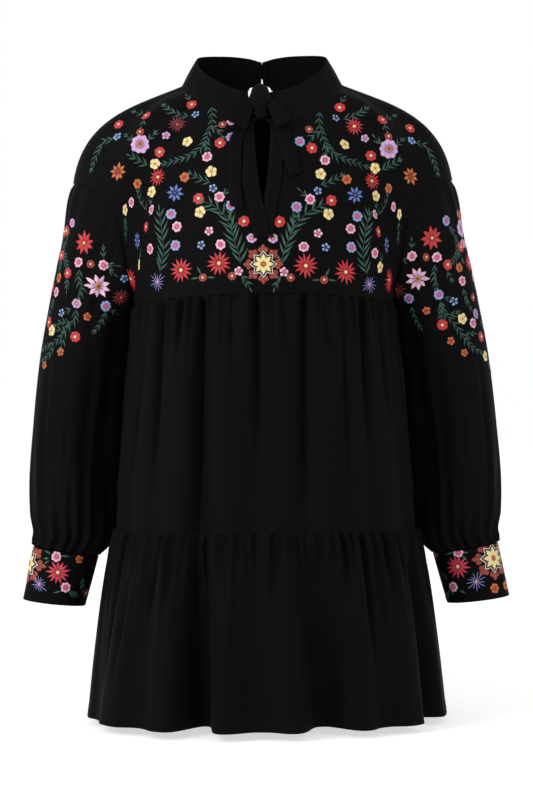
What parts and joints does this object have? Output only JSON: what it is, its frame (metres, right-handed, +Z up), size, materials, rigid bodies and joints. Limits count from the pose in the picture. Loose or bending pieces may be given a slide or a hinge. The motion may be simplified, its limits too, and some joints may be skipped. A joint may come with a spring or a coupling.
{
  "type": "tiered smock dress with stand collar and long sleeves",
  "caption": "Short tiered smock dress, hollow as if worn: embroidered yoke, stand collar with a tie, full sleeves on cuffs and a gathered hem tier.",
  "frame": {"origin": "on the centre line, level with the shoulder seams at the neck and between them", "axes": "+Z up, -Y the way the dress faces, +X towards the wearer's left"},
  "size_m": [0.6258, 0.3392, 0.8462],
  "materials": {
    "black_crepe": "matt woven crepe",
    "black_button": "satin"
  },
  "bodies": {
    "root": {"collar_left": "black_crepe", "collar_right": "black_crepe", "yoke_front": "black_crepe", "yoke_back": "black_crepe", "placket_left": "black_crepe", "placket_right": "black_crepe", "sleeve_left": "black_crepe", "sleeve_right": "black_crepe", "cuff_left": "black_crepe", "cuff_right": "black_crepe", "skirt_front": "black_crepe", "skirt_back": "black_crepe", "ruffle_front": "black_crepe", "ruffle_back": "black_crepe", "back_closure_tab": "black_crepe", "tie_knot": "black_crepe", "tie_loop_left": "black_crepe", "tie_loop_right": "black_crepe", "tie_tail_left": "black_crepe", "tie_tail_right": "black_crepe", "back_button": "black_button"}
  },
  "joints": []
}
